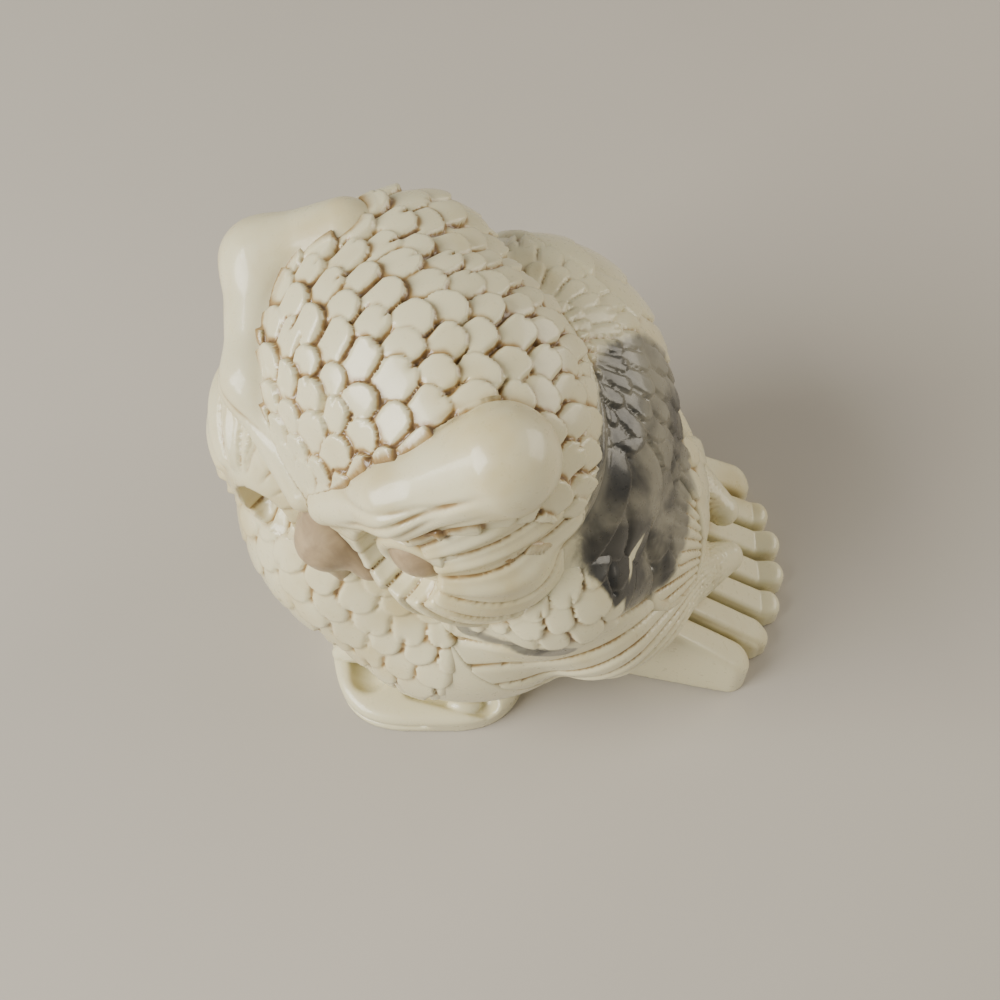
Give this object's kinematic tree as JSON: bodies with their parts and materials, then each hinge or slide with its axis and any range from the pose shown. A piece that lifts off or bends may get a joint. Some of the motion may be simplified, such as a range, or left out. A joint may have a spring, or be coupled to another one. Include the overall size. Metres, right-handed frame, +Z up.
{
  "type": "owl figurine",
  "caption": "Horned owl figurine in marbled cast resin, head turned over one wing, resting on a small base and its fanned tail.",
  "frame": {"origin": "middle of the figure's box, on the surface it rests on", "axes": "+Z up, -Y the way the body faces (the tail points +Y), +X the owl's left side"},
  "size_m": [0.0668, 0.0926, 0.0869],
  "materials": {
    "ivory_resin": "polished ivory cast resin with brown stain in the grooves",
    "grey_marbled_resin": "polished cast resin with charcoal and ivory marbling",
    "tan_resin": "polished tan cast resin, slightly translucent",
    "base_resin": "satin ivory cast resin with brown stain in the grooves"
  },
  "bodies": {
    "root": {"base": "base_resin", "torso": "ivory_resin", "breast_feathers": "ivory_resin", "mantle_feathers": "grey_marbled_resin", "left_wing": "grey_marbled_resin", "right_wing": "ivory_resin", "left_wing_coverts": "ivory_resin", "right_wing_coverts": "ivory_resin", "left_foot": "base_resin", "right_foot": "base_resin", "tail_feather_1": "ivory_resin", "tail_feather_2": "ivory_resin", "tail_feather_3": "ivory_resin", "tail_feather_4": "ivory_resin", "tail_feather_5": "ivory_resin", "tail_feather_6": "ivory_resin", "tail_feather_7": "ivory_resin", "head": "ivory_resin", "neck_ruff": "ivory_resin", "left_brow": "ivory_resin", "right_brow": "ivory_resin", "left_facial_disc": "ivory_resin", "right_facial_disc": "ivory_resin", "beak": "tan_resin", "left_eye": "tan_resin", "right_eye": "tan_resin", "left_eyelids": "ivory_resin", "right_eyelids": "ivory_resin"}
  },
  "joints": []
}
